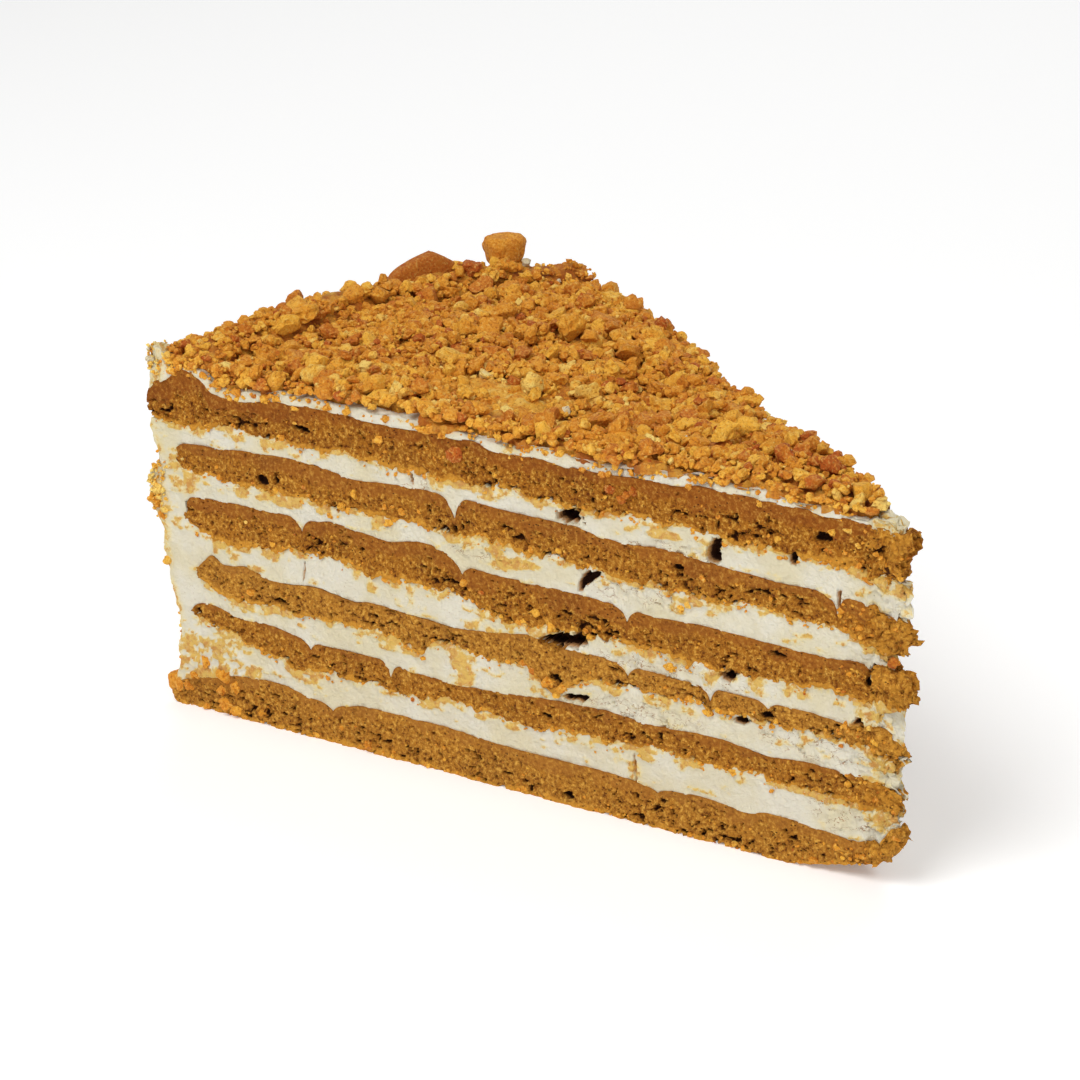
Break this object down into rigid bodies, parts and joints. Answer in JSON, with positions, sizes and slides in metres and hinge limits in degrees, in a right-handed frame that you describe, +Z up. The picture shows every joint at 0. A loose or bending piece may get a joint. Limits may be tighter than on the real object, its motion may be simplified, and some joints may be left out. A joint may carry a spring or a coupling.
{
  "type": "honey cake slice",
  "caption": "Wedge of layered honey cake (medovik): thin honey sponges with soured cream between them, a cream-coated rim and a topping of cookie crumbs.",
  "frame": {"origin": "under the middle of the slice's box, on the surface that it rests on", "axes": "+X towards the slice's tip, the rim towards -X, +Z up; the pictured cut faces -Y"},
  "size_m": [0.1248, 0.0784, 0.0596],
  "materials": {
    "sponge": "open, moist crumb",
    "cream": "set soured cream, satin",
    "coat": "cream with crumbs pressed in",
    "crumbs": "dry cookie crumbs, matt"
  },
  "bodies": {
    "root": {"sponge_1": "sponge", "sponge_2": "sponge", "sponge_3": "sponge", "sponge_4": "sponge", "sponge_5": "sponge", "sponge_6": "sponge", "cream_1": "cream", "cream_2": "cream", "cream_3": "cream", "cream_4": "cream", "cream_5": "cream", "cream_top": "cream", "rim_coat": "coat", "crumb_topping": "crumbs"}
  },
  "joints": []
}
